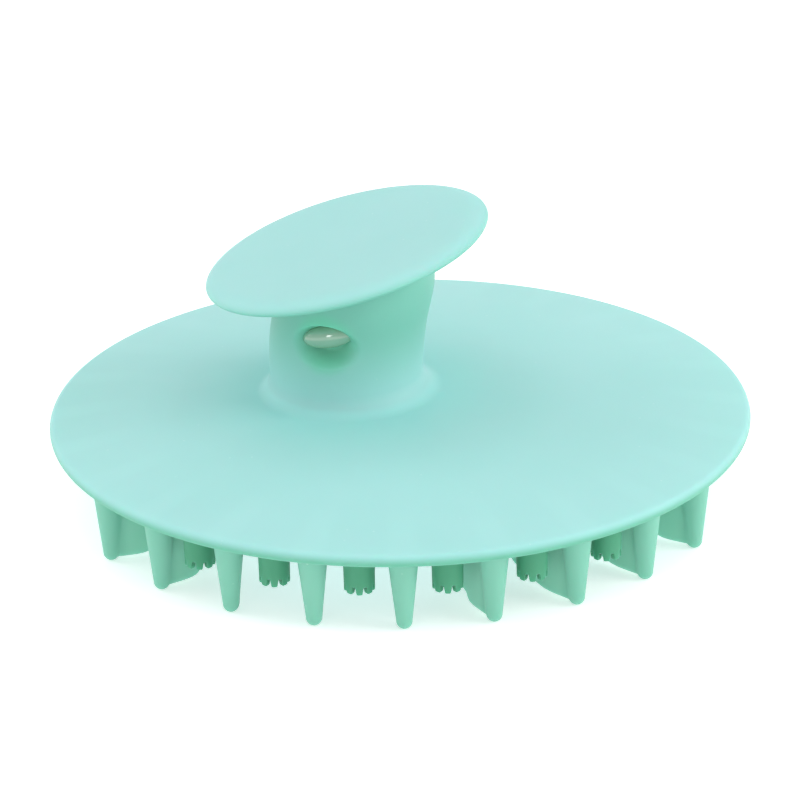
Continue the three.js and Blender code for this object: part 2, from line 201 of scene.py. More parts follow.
def dome_height(radius):
    """Height of the pad's top: a shallow dome whose fall grows as the square of the distance from the
    centre."""
    flat_to = PAD_RADIUS - RIM_HALF
    return RIM_Z + RIM_HALF + PAD_CROWN * (1 - (radius / flat_to) ** 2)


def flat_ring(radius, centre_x, angles):
    """A level ring of points round (centre_x, 0), without its height: radius times the cosine and the sine of
    each angle."""
    x = centre_x + radius * np.cos(angles)
    y = radius * np.sin(angles)
    return np.stack([x, y, np.zeros_like(x)], axis=-1)


def pad_underside(angles):
    """Rings from the middle of the underside out to its edge: a flat land with a soft dish inside it, whose
    height falls outwards along an S-curve."""
    radius = np.linspace(POLE_RADIUS, PAD_RADIUS - RIM_HALF, UNDERSIDE_RINGS)[:, None]
    rings = flat_ring(radius, 0.0, angles)
    rings[..., 2] = UNDERSIDE_Z + UNDERSIDE_DISH * (1 - smooth(0, UNDERSIDE_DISH_RADIUS, radius))
    return rings


def pad_rim(angles):
    """The rounded edge: half a circle's section from the underside round to the top."""
    turn = np.radians(np.linspace(-80, 75, RIM_RINGS))[:, None]
    radius = PAD_RADIUS - RIM_HALF + RIM_HALF * np.cos(turn)
    rings = flat_ring(radius, 0.0, angles)
    rings[..., 2] = RIM_Z + RIM_HALF * np.sin(turn)
    return rings


def pad_top(angles):
    """Rings from the edge in to the foot of the neck. Their centres slide from the pad's to the neck's,
    and every point takes the dome's height where it lies."""
    share = np.linspace(0, 1, PAD_TOP_RINGS)[:, None] ** PAD_TOP_CROWDING
    outer = PAD_RADIUS - RIM_HALF
    inner = NECK_WAIST + NECK_FOOT_REACH
    radius = outer + (inner - outer) * share
    rings = flat_ring(radius, NECK_X * share, angles)
    rings[..., 2] = dome_height(np.hypot(rings[..., 0], rings[..., 1]))
    return rings


def neck_foot(angles):
    """The soft fillet: a quarter of an ellipse from the dome up to the neck, standing on the dome's own
    height."""
    turn = np.radians(np.linspace(4, 90, FOOT_RINGS))[:, None]
    radius = NECK_WAIST + NECK_FOOT_REACH * (1 - np.sin(turn))
    rings = flat_ring(radius, NECK_X - NECK_LEAN * np.sin(turn), angles)
    ground = dome_height(np.hypot(rings[..., 0], rings[..., 1]))
    rings[..., 2] = ground + NECK_FOOT_RISE * (1 - np.cos(turn))
    return rings


def tilted_rings(radius, height, tilt, centre_z, angles):
    """Rings in planes that are tilted about Y through the point of the neck's axis at centre_z, and moved by
    height along the plane's normal."""
    across = radius * np.cos(angles)
    x = NECK_X + across * np.cos(tilt) - height * np.sin(tilt)
    y = radius * np.sin(angles)
    z = centre_z + across * np.sin(tilt) + height * np.cos(tilt)
    return np.stack(np.broadcast_arrays(x, y, z), axis=-1)


def neck_wall(angles, foot_top):
    """The neck: rings that widen a little and tilt with an S-curve, from level at the foot to the knob's
    slope. The side under the high end of the knob widens a little more."""
    share = np.linspace(0, 1, NECK_RINGS)[1:, None]
    high_side = (1 + np.cos(angles)) / 2
    side_bulge = smooth(0.45, 0.8, share) * (1 - smooth(0.8, 1, share))
    radius = NECK_WAIST + NECK_FLARE * smooth(0.05, 1, share)
    radius = radius + NECK_HIGH_SIDE_FLARE * high_side * side_bulge
    tilt = KNOB_TILT * smooth(0, 1, share)
    rings = tilted_rings(radius, -KNOB_DROP, tilt, KNOB_CENTRE[2], angles)
    start = foot_top[None, :, 2]
    rings[..., 2] = start + (rings[..., 2] - start) * share
    side_shift = KNOB_DROP * np.sin(tilt)
    rings[..., 0] += side_shift * (share - 1) - NECK_LEAN * (1 - smooth(0, 1, share))
    return rings


def knob_surface(angles):
    """The knob: a flare that hollows out under the edge, a thin edge rolled over an ellipse, and a slightly
    dished top, as rings in the knob's tilted frame. The flare's radius and height are powers of the share of
    the way out along it."""
    flare = np.linspace(0, 1, KNOB_FLARE_RINGS)[1:]
    neck_top = NECK_WAIST + NECK_FLARE
    under_edge = KNOB_RADIUS - KNOB_UNDER_ROLL
    flare_radius = neck_top + (under_edge - neck_top) * flare ** KNOB_FLARE_BEND
    flare_height = -KNOB_DROP + (KNOB_DROP - KNOB_EDGE_HALF) * flare ** KNOB_FLARE_LIFT
    under_turn = np.radians(np.linspace(-84, 0, KNOB_UNDER_RINGS))
    under_radius = under_edge + KNOB_UNDER_ROLL * np.cos(under_turn)
    under_height = KNOB_EDGE_HALF * np.sin(under_turn)
    over_turn = np.radians(np.linspace(6, 84, KNOB_OVER_RINGS))
    over_radius = KNOB_RADIUS - KNOB_TOP_ROLL * (1 - np.cos(over_turn))
    over_height = KNOB_EDGE_TOP * np.sin(over_turn)
    top_edge = KNOB_RADIUS - KNOB_TOP_ROLL
    top_radius = np.linspace(top_edge, POLE_RADIUS, KNOB_TOP_RINGS)
    top_height = KNOB_EDGE_TOP - KNOB_DISH * (1 - smooth(0, top_edge, top_radius))
    radius = np.concatenate([flare_radius, under_radius, over_radius, top_radius])[:, None]
    height = np.concatenate([flare_height, under_height, over_height, top_height])[:, None]
    return tilted_rings(radius, height, KNOB_TILT, KNOB_CENTRE[2], angles)


def press_recess(rings):
    """Presses the flared oval dimple into the front of the neck: points move in towards the neck's axis by a
    depth that falls smoothly from the middle of the oval to its lip. The lower lip flares wider than the
    upper one."""
    x = rings[..., 0] - NECK_X
    y = rings[..., 1]
    heading = np.arctan2(y, x) - RECESS_HEADING
    heading = (heading + math.pi) % (2 * math.pi) - math.pi
    across = heading * np.hypot(x, y) / RECESS_HALF_WIDTH
    up = (rings[..., 2] - RECESS_Z) / RECESS_HALF_HEIGHT
    off_middle = np.sqrt(across ** 2 + up ** 2)
    lip = RECESS_LIP - RECESS_LIP_LEAN * np.clip(up, -1, 1)
    near = 1 - smooth(RECESS_FLOOR, lip, off_middle)
    inward = 1 - RECESS_DEPTH * near / np.hypot(x, y)
    rings[..., 0] = NECK_X + x * inward
    rings[..., 1] = y * inward
    return rings


def build_skin():
    """The pad, neck and knob as one closed surface: their rings follow each other from the middle of the
    underside, over the pad's edge and up the neck, to the middle of the knob's top."""
    angles = np.linspace(0, 2 * math.pi, SKIN_AROUND, endpoint=False)
    foot = neck_foot(angles)
    neck = press_recess(np.concatenate([foot, neck_wall(angles, foot[-1])]))
    rings = np.concatenate([
        pad_underside(angles), pad_rim(angles), pad_top(angles), neck, knob_surface(angles)])
    middle_height = KNOB_EDGE_TOP - KNOB_DISH
    knob_middle = tilted_rings(np.zeros(1), middle_height, KNOB_TILT, KNOB_CENTRE[2], np.zeros(1))[0]
    return ring_mesh("silicone_skin", rings, (0, 0, UNDERSIDE_Z + UNDERSIDE_DISH), tuple(knob_middle))


# ---- plug ----

def build_plug():
    """The rounded end of the plug: an ellipsoid with its long axis round the neck, slanting up to the right.
    Each ring stands at the sine of its lift along the plug, and is narrowed by the cosine."""
    turn = np.linspace(0, 2 * math.pi, PLUG_AROUND, endpoint=False)
    lift = np.radians(np.linspace(-86, 86, PLUG_RINGS))[:, None]
    out = np.array([math.cos(RECESS_HEADING), math.sin(RECESS_HEADING), 0])
    level = np.array([-out[1], out[0], 0])
    plumb = np.array([0, 0, 1.0])
    side = level * math.cos(PLUG_SLANT) + plumb * math.sin(PLUG_SLANT)
    up = plumb * math.cos(PLUG_SLANT) - level * math.sin(PLUG_SLANT)
    seat = np.array([NECK_X, 0, PLUG_Z]) + out * (NECK_WAIST - PLUG_SUNK)
    rings = (seat + (PLUG_BULGE * np.sin(lift) + 0 * turn)[..., None] * out
             + (PLUG_HALF_WIDTH * np.cos(lift) * np.cos(turn))[..., None] * side
             + (PLUG_HALF_HEIGHT * np.cos(lift) * np.sin(turn))[..., None] * up)
    return ring_mesh("plug_dome", rings, tuple(seat - PLUG_BULGE * out), tuple(seat + PLUG_BULGE * out))


# ---- teeth ----

def row_headings(per_side):
    """Headings of a row centred on the front of the pad, then of the same row turned half way round."""
    steps = (np.arange(per_side) - (per_side - 1) / 2) * TOOTH_PITCH
    return np.concatenate([steps, steps + math.pi])


def fin_size(fin):
    """The fin's turn in radians, its length at each level of a tooth, by straight lines between its corners,
    and its half thickness there, which rounds off its lower edge by a quarter of a circle. A plain tooth has
    a fin shorter than its cone's radius, so the cone all but hides it."""
    rise = np.clip((TOOTH_LEVELS - FIN_LOW_Z) / FIN_HALF, 0.0, 1.0)
    half = FIN_HALF * np.sqrt(np.clip(1 - (1 - rise) ** 2, 1e-4, None))
    if fin is None:
        return 0.0, np.full_like(TOOTH_LEVELS, FIN_HALF), half
    turn, edge = fin
    corner_height, corner_length = np.array(edge).T * MM
    return math.radians(turn), np.interp(TOOTH_LEVELS, corner_height, corner_length), half


def cone_radius():
    """The cone's radius at each level of a tooth: a ball's section below the tip's centre, then a straight
    taper up to the root."""
    height = TOOTH_LEVELS
    ball = np.sqrt(np.clip(TOOTH_TIP_RADIUS ** 2 - (TOOTH_TIP_RADIUS - height) ** 2, 1e-12, None))
    widening = (TOOTH_ROOT_RADIUS - TOOTH_TIP_RADIUS) * (height - TOOTH_TIP_RADIUS) / UNDERSIDE_Z
    return np.where(height < TOOTH_TIP_RADIUS, ball, TOOTH_TIP_RADIUS + widening)


def tooth_rings(heading, fin):
    """A tapered cone with a rounded tip, softly joined to a slab fin. Seen from above, the section's radius
    at each direction is the power sum of the cone's circle and of the slab's rounded rectangle."""
    height = TOOTH_LEVELS[:, None]
    fin_turn, length, half = fin_size(fin)
    near_fin = np.linspace(0, 1, TOOTH_NEAR_POINTS) ** TOOTH_CROWDING * TOOTH_NEAR_FIN
    far_side = np.linspace(TOOTH_NEAR_FIN, math.pi, TOOTH_FAR_POINTS)[1:]
    one_side = np.concatenate([near_fin, far_side])
    turn = np.concatenate([one_side, -one_side[-2:0:-1]])
    slab = ((np.abs(np.sin(turn)) / half[:, None]) ** FIN_CORNER_POWER
            + (np.cos(turn) / length[:, None]) ** FIN_CORNER_POWER) ** (-1 / FIN_CORNER_POWER)
    slab = np.where((height > FIN_LOW_Z) & (np.cos(turn) > 0), slab, 0.0)
    cone = cone_radius()[:, None]
    radius = (cone ** FIN_JOIN_POWER + slab ** FIN_JOIN_POWER) ** (1 / FIN_JOIN_POWER)
    inward = math.pi / 2 + heading + fin_turn
    x = TOOTH_RING_RADIUS * math.sin(heading) + radius * np.cos(turn + inward)
    y = -TOOTH_RING_RADIUS * math.cos(heading) + radius * np.sin(turn + inward)
    z = np.broadcast_to(height, x.shape)
    return np.stack([x, y, z], axis=-1)


def build_tooth(number, heading):
    """One soft tooth from its rings, closed on its axis at the tip and at the root."""
    rings = tooth_rings(heading, FINS[(number - 1) % TEETH_PER_SIDE])
    foot = (TOOTH_RING_RADIUS * math.sin(heading), -TOOTH_RING_RADIUS * math.cos(heading))
    body = f"tooth_{number:02d}"
    tooth = ring_mesh(f"soft_{body}", rings, (*foot, 0.0), (*foot, rings[-1, 0, 2]))
    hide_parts(body)
    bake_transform(tooth)
    return tooth


# ---- crown stubs ----

def build_stub(number, heading):
    """A short straight stub with a bored end: its section turned about its axis. The rim of its end is raised
    into the slots: at each direction the end stands at the slot's depth inside a slot, and at the crown's
    level between slots, with a soft shoulder from one to the other."""
    middle = np.array([STUB_RING_RADIUS * math.sin(heading), -STUB_RING_RADIUS * math.cos(heading)])
    sector = np.linspace(-1, 1, STUB_POINTS_PER_SLOT + 1)[:-1]
    sector = np.sign(sector) * np.abs(sector) ** STUB_CROWDING
    pitch = 2 * math.pi / STUB_SLOT_COUNT
    turn = ((np.arange(STUB_SLOT_COUNT) + 0.5)[:, None] * pitch + sector * pitch / 2).reshape(-1)
    off_slot = np.abs(np.tile(sector, STUB_SLOT_COUNT)) * pitch / 2 * STUB_RADIUS
    slot_roof = STUB_SLOT_DEPTH * (1 - smooth(0.55, 1.35, off_slot / STUB_SLOT_HALF))
    section_radius, section_height = np.array(STUB_SECTION).T[..., None] * MM
    radius = section_radius + 0 * turn
    rise = np.maximum(section_height, slot_roof)
    x = middle[0] + radius * np.cos(turn)
    y = middle[1] + radius * np.sin(turn)
    rings = np.stack([x, y, STUB_END_Z + rise], axis=-1)
    body = f"crown_stub_{number:02d}"
    bore_roof = (*middle, STUB_END_Z + STUB_BORE_DEPTH)
    stub = ring_mesh(f"soft_{body}", rings, bore_roof, (*middle, rings[-1, 0, 2]))
    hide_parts(body)
    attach(stub, "root")
    return stub


# ---- small helpers for the materials ----

def feed(links, socket, value):
    """Joins another node's output to a socket, or sets the socket to a plain value."""
    if isinstance(value, bpy.types.NodeSocket):
        links.new(value, socket)
    else:
        socket.default_value = value


def fade(nodes, links, value, low, high):
    """A mask that follows an S-curve from 0 where value is low to 1 where value is high."""
    step = nodes.new("ShaderNodeMapRange")
    step.interpolation_type = "SMOOTHSTEP"
    feed(links, step.inputs["Value"], value)
    feed(links, step.inputs["From Min"], low)
    feed(links, step.inputs["From Max"], high)
    return step.outputs["Result"]


def reckon(nodes, links, operation, *values):
    """The result of one sum with plain values."""
    step = nodes.new("ShaderNodeMath")
    step.operation = operation
    for socket, value in zip(step.inputs, values):
        feed(links, socket, value)
    return step.outputs["Value"]


def measure(nodes, links, operation, first, second=None):
    """The result of one sum with places, as a place and as a plain value."""
    step = nodes.new("ShaderNodeVectorMath")
    step.operation = operation
    feed(links, step.inputs[0], first)
    if second is not None:
        feed(links, step.inputs[1], second)
    return step.outputs


def split_place(nodes, links, place):
    """The X, Y and Z of a place, as outputs."""
    split = nodes.new("ShaderNodeSeparateXYZ")
    feed(links, split.inputs["Vector"], place)
    return split.outputs


def level_reach(nodes, links, x, y):
    """Level distance from the axis, from X and Y."""
    level = nodes.new("ShaderNodeCombineXYZ")
    feed(links, level.inputs["X"], x)
    feed(links, level.inputs["Y"], y)
    return measure(nodes, links, "LENGTH", level.outputs["Vector"])["Value"]


def mixed_color(nodes, links, mask, under, over, amount):
    """A colour that moves from under towards over where the mask is high, by at most amount."""
    mix = nodes.new("ShaderNodeMix")
    mix.data_type = "RGBA"
    mix.inputs["B"].default_value = (*over, 1)
    links.new(reckon(nodes, links, "MULTIPLY", mask, amount), mix.inputs["Factor"])
    links.new(under, mix.inputs["A"])
    return mix.outputs["Result"]


def new_group(name, outputs, inputs):
    """An empty node group with its sockets, and the nodes that hold them inside it."""
    group = bpy.data.node_groups.new(name, "ShaderNodeTree")
    for label, kind, value in inputs:
        socket = group.interface.new_socket(label, in_out="INPUT", socket_type=kind)
        socket.default_value = value
    for label, kind in outputs:
        group.interface.new_socket(label, in_out="OUTPUT", socket_type=kind)
    start = group.nodes.new("NodeGroupInput")
    end = group.nodes.new("NodeGroupOutput")
    return group, start.outputs, end.inputs


# ---- shared effects ----

CLOUD_SCALE = 60
CLOUD_AMOUNT = 0.35
CLOUD_ROUGHNESS = 0.12
SPECK_SCALE = 320
SPECK_COLOR = (0.8, 0.9, 0.88, 1)
SPECK_AMOUNT = 0.2
GRAIN_SCALE = 2600


def silicone_mottle():
    """Node group: slow clouding of the colour, sparse pale specks of dust, and a fine matt grain for the
    bump."""
    group, given, result = new_group(
        "silicone_mottle",
        [("Color", "NodeSocketColor"), ("Roughness", "NodeSocketFloat"), ("Grain", "NodeSocketFloat")],
        [("Color", "NodeSocketColor", (0.6, 0.85, 0.8, 1)),
         ("Deep Color", "NodeSocketColor", (0.5, 0.8, 0.72, 1)),
         ("Roughness", "NodeSocketFloat", 0.45)])
    nodes, links = group.nodes, group.links
    place = nodes.new("ShaderNodeTexCoord").outputs["Object"]
    clouds = nodes.new("ShaderNodeTexNoise")
    clouds.inputs["Scale"].default_value = CLOUD_SCALE
    clouds.inputs["Detail"].default_value = 4
    links.new(place, clouds.inputs["Vector"])
    cloud_share = nodes.new("ShaderNodeMapRange")
    cloud_share.inputs["From Min"].default_value = 0.35
    cloud_share.inputs["From Max"].default_value = 0.65
    cloud_share.inputs["To Max"].default_value = CLOUD_AMOUNT
    links.new(clouds.outputs["Fac"], cloud_share.inputs["Value"])
    clouded = nodes.new("ShaderNodeMix")
    clouded.data_type = "RGBA"
    links.new(cloud_share.outputs["Result"], clouded.inputs["Factor"])
    links.new(given["Color"], clouded.inputs["A"])
    links.new(given["Deep Color"], clouded.inputs["B"])
    cells = nodes.new("ShaderNodeTexVoronoi")
    cells.inputs["Scale"].default_value = SPECK_SCALE
    links.new(place, cells.inputs["Vector"])
    speck = nodes.new("ShaderNodeMapRange")
    speck.inputs["From Min"].default_value = 0.055
    speck.inputs["From Max"].default_value = 0.025
    speck.inputs["To Max"].default_value = SPECK_AMOUNT
    links.new(cells.outputs["Distance"], speck.inputs["Value"])
    dusty = nodes.new("ShaderNodeMix")
    dusty.data_type = "RGBA"
    dusty.inputs["B"].default_value = SPECK_COLOR
    links.new(speck.outputs["Result"], dusty.inputs["Factor"])
    links.new(clouded.outputs["Result"], dusty.inputs["A"])
    links.new(dusty.outputs["Result"], result["Color"])
    grain = nodes.new("ShaderNodeTexNoise")
    grain.inputs["Scale"].default_value = GRAIN_SCALE
    grain.inputs["Detail"].default_value = 3
    links.new(place, grain.inputs["Vector"])
    links.new(grain.outputs["Fac"], result["Grain"])
    rough = reckon(nodes, links, "MULTIPLY_ADD", clouds.outputs["Fac"], CLOUD_ROUGHNESS, given["Roughness"])
    links.new(rough, result["Roughness"])
    return group


def underside_edge_shade():
    """Node group: a mask for painted shade and green bounce that is 1 on the lower half of a round thin edge
    and fades to 0 above it, inwards of it and well below it. Place is measured from the middle of the disc
    that the edge belongs to."""
    group, given, result = new_group(
        "underside_edge_shade", [("Mask", "NodeSocketFloat")],
        [("Place", "NodeSocketVector", (0, 0, 0)),
         ("Inner Radius", "NodeSocketFloat", 0.042), ("Outer Radius", "NodeSocketFloat", 0.043),
         ("Low Height", "NodeSocketFloat", 0.0), ("High Height", "NodeSocketFloat", 0.001)])
    nodes, links = group.nodes, group.links
    x, y, z = split_place(nodes, links, given["Place"])
    reach = level_reach(nodes, links, x, y)
    outer = fade(nodes, links, reach, given["Inner Radius"], given["Outer Radius"])
    lower = fade(nodes, links, z, given["High Height"], given["Low Height"])
    above_low = reckon(nodes, links, "SUBTRACT", z, given["Low Height"])
    near = fade(nodes, links, above_low, -2.2 * MM, -1.2 * MM)
    on_edge = reckon(nodes, links, "MULTIPLY", outer, lower)
    links.new(reckon(nodes, links, "MULTIPLY", on_edge, near), result["Mask"])
    return group


def sink_mark_light():
    """Node group: faint lighter wedges on the pad over the teeth, painted light for the faint sink dents
    where the thicker silicone shrank. The mask is a cosine of the heading that repeats at each tooth, faded
    in and kept to a band near the edge."""
    group, given, result = new_group(
        "sink_mark_light", [("Mask", "NodeSocketFloat")], [("Place", "NodeSocketVector", (0, 0, 0))])
    nodes, links = group.nodes, group.links
    x, y, z = split_place(nodes, links, given["Place"])
    heading = reckon(nodes, links, "ARCTAN2", x, y)
    wave = reckon(nodes, links, "COSINE",
                  reckon(nodes, links, "MULTIPLY", heading, 2 * math.pi / TOOTH_PITCH))
    wedge = fade(nodes, links, wave, 0.1, 1.0)
    reach = measure(nodes, links, "LENGTH", given["Place"])["Value"]
    band = fade(nodes, links, reach, 31 * MM, 41 * MM)
    on_pad = reckon(nodes, links, "LESS_THAN", z, RIM_Z + 4 * MM)
    in_band = reckon(nodes, links, "MULTIPLY", wedge, band)
    links.new(reckon(nodes, links, "MULTIPLY", in_band, on_pad), result["Mask"])
    return group


def neck_shade_and_foot_light():
    """Node group with two masks of painted light and shade. Mask is painted shade: it is 1 on the neck close
    under the knob and fades down to its foot: the product of a fall with distance from the neck's axis, a
    rise with height, and a cut just below the knob's edge. Foot is painted light: it is 1 on the pad close
    round the neck and fades outwards and up the fillet."""
    group, given, result = new_group(
        "neck_shade_and_foot_light", [("Mask", "NodeSocketFloat"), ("Foot", "NodeSocketFloat")],
        [("Place", "NodeSocketVector", (0, 0, 0)), ("Knob Place", "NodeSocketVector", (0, 0, 0))])
    nodes, links = group.nodes, group.links
    x, y, z = split_place(nodes, links, given["Place"])
    knob_z = split_place(nodes, links, given["Knob Place"])["Z"]
    reach = level_reach(nodes, links, reckon(nodes, links, "SUBTRACT", x, NECK_X), y)
    on_neck = fade(nodes, links, reach, 13.0 * MM, 10.6 * MM)
    high_up = fade(nodes, links, z, RIM_Z + 3.2 * MM, RIM_Z + 15 * MM)
    under_knob = fade(nodes, links, knob_z, -0.9 * MM, -1.8 * MM)
    upper_neck = reckon(nodes, links, "MULTIPLY", on_neck, high_up)
    links.new(reckon(nodes, links, "MULTIPLY", upper_neck, under_knob), result["Mask"])
    # Foot is painted light, lifting the shade of the neck and knob off the pad round the neck's foot.
    low_down = fade(nodes, links, z, RIM_Z + 4.9 * MM, RIM_Z + 4.1 * MM)
    close = fade(nodes, links, reach, 22 * MM, 10 * MM)
    links.new(reckon(nodes, links, "MULTIPLY", low_down, close), result["Foot"])
    return group


# ---- materials ----

MINT = (0.385, 0.705, 0.69)
MINT_DEEP = (0.34, 0.68, 0.65)
# The teeth are the same mint silicone as the skin; their darker, greener colours are painted shade under the
# pad.
TOOTH_SHADE_GREEN = (0.22, 0.535, 0.415)
TOOTH_SHADE_GREEN_DEEP = (0.195, 0.50, 0.375)
# The stubs are the same mint silicone too; their much darker green is painted shade deep under the pad.
STUB_SHADE_GREEN = (0.083, 0.325, 0.195)
STUB_SHADE_GREEN_DEEP = (0.07, 0.295, 0.17)
# The plug is pale plastic; its grey-green is painted shade and green bounce from the recess round it.
PLUG_SHADED_GREEN = (0.24, 0.44, 0.31)
CORE_WHITE = (0.8, 0.85, 0.8)
# Painted light on the faint sink dents over the teeth.
SINK_LIGHT_MINT = (0.45, 0.83, 0.79)
# Painted light on the pad round the neck's foot.
FOOT_LIGHT_MINT = (0.385, 0.80, 0.775)
# Painted shade on the neck under the knob.
NECK_SHADE_GREEN = (0.19, 0.51, 0.40)
# Painted shade in the recess.
RECESS_SHADE_GREEN = (0.17, 0.60, 0.40)
# Painted shade and green bounce on the lower side of thin edges.
EDGE_SHADE_GREEN = (0.13, 0.43, 0.30)
# Painted light on the thin fins.
FIN_LIGHT_GREEN = (0.28, 0.62, 0.485)


def silicone_material(name, color, deep, roughness, mottle):
    """Satin silicone that lets a little light through, with slow clouding and a fine matt grain."""
    material = bpy.data.materials.new(name)
    material.use_nodes = True
    nodes, links = material.node_tree.nodes, material.node_tree.links
    shader = nodes["Principled BSDF"]
    shader.inputs["Subsurface Weight"].default_value = 0.35
    shader.inputs["Subsurface Radius"].default_value = (0.4, 1.0, 0.8)
    shader.inputs["Subsurface Scale"].default_value = 2.6 * MM
    shader.inputs["IOR"].default_value = 1.41
    shader.inputs["Specular IOR Level"].default_value = 0.25
    surface = nodes.new("ShaderNodeGroup")
    surface.name = "surface"
    surface.node_tree = mottle
    surface.inputs["Color"].default_value = (*color, 1)
    surface.inputs["Deep Color"].default_value = (*deep, 1)
    surface.inputs["Roughness"].default_value = roughness
    links.new(surface.outputs["Color"], shader.inputs["Base Color"])
    links.new(surface.outputs["Roughness"], shader.inputs["Roughness"])
    bump = nodes.new("ShaderNodeBump")
    bump.inputs["Strength"].default_value = 0.12
    bump.inputs["Distance"].default_value = 0.02 * MM
    links.new(surface.outputs["Grain"], bump.inputs["Height"])
    links.new(bump.outputs["Normal"], shader.inputs["Normal"])
    return material


def tint_body(material):
    """Paints light and shade into the body's silicone colour: painted light as faint lighter wedges on the
    sink dents over the teeth, a painted brighter ring round the neck's foot where the neck and knob shade the
    pad, painted shade as a deeper green on the neck under the knob and in the recess, and painted shade as
    green on the lower side of the thin edges."""
    nodes, links = material.node_tree.nodes, material.node_tree.links
    place = nodes.new("ShaderNodeTexCoord").outputs["Object"]
    knob_mapping = nodes.new("ShaderNodeMapping")
    knob_mapping.vector_type = "TEXTURE"
    knob_mapping.inputs["Location"].default_value = tuple(KNOB_CENTRE)
    knob_mapping.inputs["Rotation"].default_value = (0, -KNOB_TILT, 0)
    links.new(place, knob_mapping.inputs["Vector"])
    knob_place = knob_mapping.outputs["Vector"]

    # Painted light: lighter wedges over the teeth for the sink dents.
    sink_light_node = nodes.new("ShaderNodeGroup")
    sink_light_node.node_tree = sink_mark_light()
    links.new(place, sink_light_node.inputs["Place"])
    neck = nodes.new("ShaderNodeGroup")
    neck.node_tree = neck_shade_and_foot_light()
    links.new(place, neck.inputs["Place"])
    links.new(knob_place, neck.inputs["Knob Place"])
    # Painted shade: a deeper green in the recess.
    recess_mouth = (NECK_X + NECK_WAIST * math.cos(RECESS_HEADING),
                    NECK_WAIST * math.sin(RECESS_HEADING), RECESS_Z)
    from_recess = measure(nodes, links, "DISTANCE", place, recess_mouth)["Value"]
    recess_shade = fade(nodes, links, from_recess, 4.6 * MM, 2.4 * MM)
    color = nodes["surface"].outputs["Color"]
    # Painted light and shade, each mixed in by its mask: light on the sink dents, light round the neck's
    # foot, shade on the neck under the knob and shade in the recess.
    for mask, tint, amount in (
            (sink_light_node.outputs["Mask"], SINK_LIGHT_MINT, 0.1),
            (neck.outputs["Foot"], FOOT_LIGHT_MINT, 0.6),
            (neck.outputs["Mask"], NECK_SHADE_GREEN, 0.9),
            (recess_shade, RECESS_SHADE_GREEN, 0.8)):
        color = mixed_color(nodes, links, mask, color, tint, amount)

    # Painted shade: a deeper green on the lower side of the pad's and the knob's thin edges.
    edge = underside_edge_shade()
    pad_edge = (place, PAD_RADIUS - 1.3 * MM, PAD_RADIUS - 0.1 * MM, RIM_Z - 0.4 * MM, RIM_Z + 0.8 * MM, 0.95)
    knob_edge = (knob_place, KNOB_RADIUS - 2.2 * MM, KNOB_RADIUS - 0.3 * MM, -0.4 * MM, 0.75 * MM, 0.7)
    for source, inner, outer, low, high, amount in (pad_edge, knob_edge):
        edge_shade_node = nodes.new("ShaderNodeGroup")
        edge_shade_node.node_tree = edge
        links.new(source, edge_shade_node.inputs["Place"])
        edge_shade_node.inputs["Inner Radius"].default_value = inner
        edge_shade_node.inputs["Outer Radius"].default_value = outer
        edge_shade_node.inputs["Low Height"].default_value = low
        edge_shade_node.inputs["High Height"].default_value = high
        color = mixed_color(nodes, links, edge_shade_node.outputs["Mask"], color, EDGE_SHADE_GREEN, amount)
    links.new(color, nodes["Principled BSDF"].inputs["Base Color"])


def lighten_fins(material):
    """Paints light on the thin fins: the mask is 0 at the cones and 1 further in."""
    nodes, links = material.node_tree.nodes, material.node_tree.links
    place = nodes.new("ShaderNodeTexCoord").outputs["Object"]
    level = measure(nodes, links, "MULTIPLY", place, (1, 1, 0))["Vector"]
    reach = measure(nodes, links, "LENGTH", level)["Value"]
    inner = fade(nodes, links, reach, TOOTH_RING_RADIUS - 0.6 * MM, TOOTH_RING_RADIUS - 2.0 * MM)
    color = mixed_color(nodes, links, inner, nodes["surface"].outputs["Color"], FIN_LIGHT_GREEN, 0.85)
    links.new(color, nodes["Principled BSDF"].inputs["Base Color"])


def plastic_material(name, color, roughness, mottle):
    """Glossy moulded plastic under a clear coat, with the same slow clouding, much weaker."""
    deep = [0.96 * channel for channel in color]
    material = bpy.data.materials.new(name)
    material.use_nodes = True
    nodes, links = material.node_tree.nodes, material.node_tree.links
    shader = nodes["Principled BSDF"]
    shader.inputs["Coat Weight"].default_value = 1.0
    shader.inputs["Coat Roughness"].default_value = 0.06
    shader.inputs["Specular IOR Level"].default_value = 0.9
    surface = nodes.new("ShaderNodeGroup")
    surface.node_tree = mottle
    surface.inputs["Color"].default_value = (*color, 1)
    surface.inputs["Deep Color"].default_value = (*deep, 1)
    surface.inputs["Roughness"].default_value = roughness
    links.new(surface.outputs["Color"], shader.inputs["Base Color"])
    links.new(surface.outputs["Roughness"], shader.inputs["Roughness"])
    return material


# ---- stage ----

def build_floor():
    """A plain pale floor that gives off a weak light of its own, so that it stays white away from the brush.
    """
    side = 6.0
    corners = [(-side, -side, 0), (side, -side, 0), (side, side, 0), (-side, side, 0)]
    mesh = bpy.data.meshes.new("floor")
    mesh.from_pydata(corners, [], [(0, 1, 2, 3)])
    floor = bpy.data.objects.new("floor", mesh)
    bpy.context.scene.collection.objects.link(floor)
    material = bpy.data.materials.new("pale_floor")
    material.use_nodes = True
    shader = material.node_tree.nodes["Principled BSDF"]
    shader.inputs["Base Color"].default_value = (0.88, 0.88, 0.88, 1)
    shader.inputs["Roughness"].default_value = 0.9
    shader.inputs["Emission Color"].default_value = (1, 1, 1, 1)
    shader.inputs["Emission Strength"].default_value = 0.45
    mesh.materials.append(material)


def soft_light(name, place, aim, size, power):
    """A rectangular softbox at place that faces aim."""
    light = bpy.data.lights.new(name, "AREA")
    light.shape = "RECTANGLE"
    light.size, light.size_y = size
    light.energy = power
    lamp = bpy.data.objects.new(name, light)
    lamp.location = place
    lamp.rotation_euler = (Vector(aim) - Vector(place)).to_track_quat("-Z", "Y").to_euler()
    bpy.context.scene.collection.objects.link(lamp)


